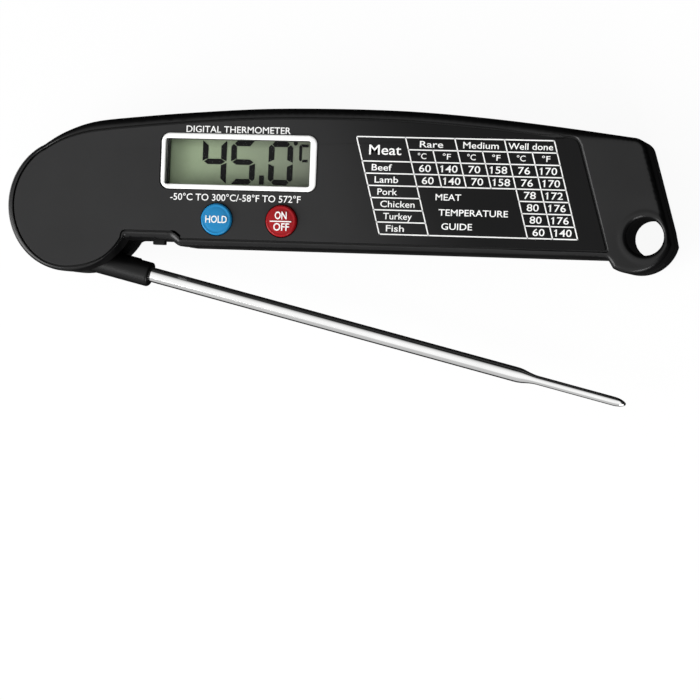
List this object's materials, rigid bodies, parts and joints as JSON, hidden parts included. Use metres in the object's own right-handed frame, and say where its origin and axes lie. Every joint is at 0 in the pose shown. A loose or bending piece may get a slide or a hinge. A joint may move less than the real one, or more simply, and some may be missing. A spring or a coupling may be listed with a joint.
{
  "type": "folding meat thermometer",
  "caption": "Folding digital probe thermometer with a display, two push buttons, a swing-out steel probe, a battery door and a hanging hole.",
  "frame": {"origin": "where the fold axis of the probe meets the flat back face", "axes": "+Z out of the display, along the fold axis; +X along the body from the fold joint towards the hanging hole; +Y towards the upper edge of the display"},
  "size_m": [0.1566, 0.066, 0.0191],
  "materials": {
    "black_abs": "satin",
    "printed_label": "matte print",
    "white_abs": "gloss",
    "clear_acrylic": "clear",
    "lcd_glass": "grey-green liquid crystal",
    "reflector_film": "silver film",
    "zebra_rubber": "matte",
    "dark_plastic": "matte",
    "board_green": "solder mask",
    "chip_epoxy": "matte",
    "stainless_steel": "polished",
    "nickel_plate": "nickel plated",
    "brass": "turned",
    "capacitor_sleeve": "sleeved",
    "battery_jacket": "printed jacket",
    "red_insulation": "satin",
    "black_insulation": "satin",
    "foam_pad": "foam",
    "seal_rubber": "matte",
    "thermistor_glass": "amber glass",
    "blue_button": "gloss",
    "red_button": "gloss"
  },
  "bodies": {
    "housing": {"front_shell": "black_abs", "back_shell": "black_abs", "front_label": "printed_label", "display_frame": "white_abs", "display_window": "clear_acrylic", "lcd_holder": "dark_plastic", "lcd_cell": "lcd_glass", "lcd_reflector": "reflector_film", "zebra_strip_upper": "zebra_rubber", "zebra_strip_lower": "zebra_rubber", "circuit_board": "board_green", "controller_chip": "chip_epoxy", "timing_crystal": "stainless_steel", "filter_capacitor": "capacitor_sleeve", "hold_switch": "chip_epoxy", "power_switch": "chip_epoxy", "board_screw_1": "stainless_steel", "board_screw_2": "stainless_steel", "board_lead": "black_insulation", "battery_cell": "battery_jacket", "battery_spring": "nickel_plate", "battery_spring_plate": "nickel_plate", "battery_plus_plate": "nickel_plate", "supply_lead_red": "red_insulation", "supply_lead_black": "black_insulation", "housing_screw_1": "stainless_steel", "housing_screw_2": "stainless_steel", "housing_screw_3": "stainless_steel", "housing_screw_4": "stainless_steel", "housing_screw_5": "stainless_steel", "housing_screw_6": "stainless_steel", "pivot_axle": "brass", "wave_washer": "stainless_steel", "hub_seal_front": "seal_rubber", "hub_seal_back": "seal_rubber", "arm_catch": "seal_rubber"},
    "probe": {"probe_arm": "black_abs", "hub_cover": "dark_plastic", "probe_tube": "stainless_steel", "sensor_bead": "thermistor_glass", "sensor_lead": "red_insulation"},
    "door": {"battery_door": "black_abs", "door_pad": "foam_pad"},
    "hold_key": {"hold_button": "blue_button", "hold_switch_plunger": "dark_plastic"},
    "power_key": {"power_button": "red_button", "power_switch_plunger": "dark_plastic"}
  },
  "joints": [
    {"name": "probe_fold", "type": "hinge", "parent": "housing", "child": "probe", "pos_m": [0, 0, 0.009], "axis": [0, 0, -1], "range_deg": [-13, 167]},
    {"name": "battery_door_hinge", "type": "hinge", "parent": "housing", "child": "door", "pos_m": [0.0651, 0.0085, 0.0011], "axis": [0, 1, 0], "range_deg": [0, 80]},
    {"name": "hold_press", "type": "slide", "parent": "housing", "child": "hold_key", "axis": [0, 0, -1], "range_m": [0, 0.0005], "stiffness_N_per_m": 800, "springref_m": -0.0006},
    {"name": "power_press", "type": "slide", "parent": "housing", "child": "power_key", "axis": [0, 0, -1], "range_m": [0, 0.0005], "stiffness_N_per_m": 800, "springref_m": -0.0006}
  ]
}
